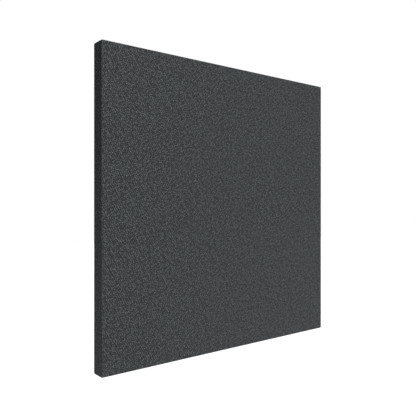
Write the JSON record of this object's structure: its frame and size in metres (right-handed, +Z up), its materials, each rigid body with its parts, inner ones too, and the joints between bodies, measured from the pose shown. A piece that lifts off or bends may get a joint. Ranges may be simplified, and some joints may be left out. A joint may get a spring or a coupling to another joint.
{
  "type": "wall punch pad",
  "caption": "Square wall-hung striking pad: vinyl over two foam layers on a plywood board, which lifts off interlocking aluminium Z-clips.",
  "frame": {"origin": "on the wall's surface, at the middle of the upper centre wall clip's back face", "axes": "+X to the right as seen from in front of the pad, +Y into the wall, +Z up; the striking face looks along -Y"},
  "size_m": [0.61, 0.0365, 0.6099],
  "materials": {
    "vinyl": "satin pebble-grained vinyl",
    "face_foam": "matte closed-cell foam",
    "base_foam": "matte dense closed-cell foam",
    "board": "sanded birch plywood",
    "clip": "satin anodised",
    "fastener": "zinc plated",
    "staple": "galvanised",
    "bumper": "matte"
  },
  "bodies": {
    "wall_clips": {"wall_clip_upper_left": "clip", "wall_clip_upper_centre": "clip", "wall_clip_upper_right": "clip", "wall_clip_lower_left": "clip", "wall_clip_lower_right": "clip"},
    "pad": {"vinyl_cover": "vinyl", "face_foam": "face_foam", "base_foam": "base_foam", "backing_board": "board", "pad_clip_upper_left": "clip", "pad_clip_upper_centre": "clip", "pad_clip_upper_right": "clip", "pad_clip_lower_left": "clip", "pad_clip_lower_right": "clip", "pad_clip_upper_left_screw_1": "fastener", "pad_clip_upper_left_screw_2": "fastener", "pad_clip_upper_centre_screw_1": "fastener", "pad_clip_upper_centre_screw_2": "fastener", "pad_clip_upper_right_screw_1": "fastener", "pad_clip_upper_right_screw_2": "fastener", "pad_clip_lower_left_screw_1": "fastener", "pad_clip_lower_left_screw_2": "fastener", "pad_clip_lower_right_screw_1": "fastener", "pad_clip_lower_right_screw_2": "fastener", "bumper_upper_left": "bumper", "bumper_upper_right": "bumper", "bumper_lower_left": "bumper", "bumper_lower_right": "bumper", "bumper_screw_upper_left": "fastener", "bumper_screw_upper_right": "fastener", "bumper_screw_lower_left": "fastener", "bumper_screw_lower_right": "fastener", "staple_top_1": "staple", "staple_top_2": "staple", "staple_top_3": "staple", "staple_top_4": "staple", "staple_top_5": "staple", "staple_top_6": "staple", "staple_top_7": "staple", "staple_bottom_1": "staple", "staple_bottom_2": "staple", "staple_bottom_3": "staple", "staple_bottom_4": "staple", "staple_bottom_5": "staple", "staple_bottom_6": "staple", "staple_bottom_7": "staple", "staple_left_1": "staple", "staple_left_2": "staple", "staple_left_3": "staple", "staple_left_4": "staple", "staple_left_5": "staple", "staple_left_6": "staple", "staple_left_7": "staple", "staple_right_1": "staple", "staple_right_2": "staple", "staple_right_3": "staple", "staple_right_4": "staple", "staple_right_5": "staple", "staple_right_6": "staple", "staple_right_7": "staple"}
  },
  "joints": [
    {"name": "lift_off", "type": "slide", "parent": "wall_clips", "child": "pad", "axis": [0, 0, 1], "range_m": [0, 0.015]}
  ]
}
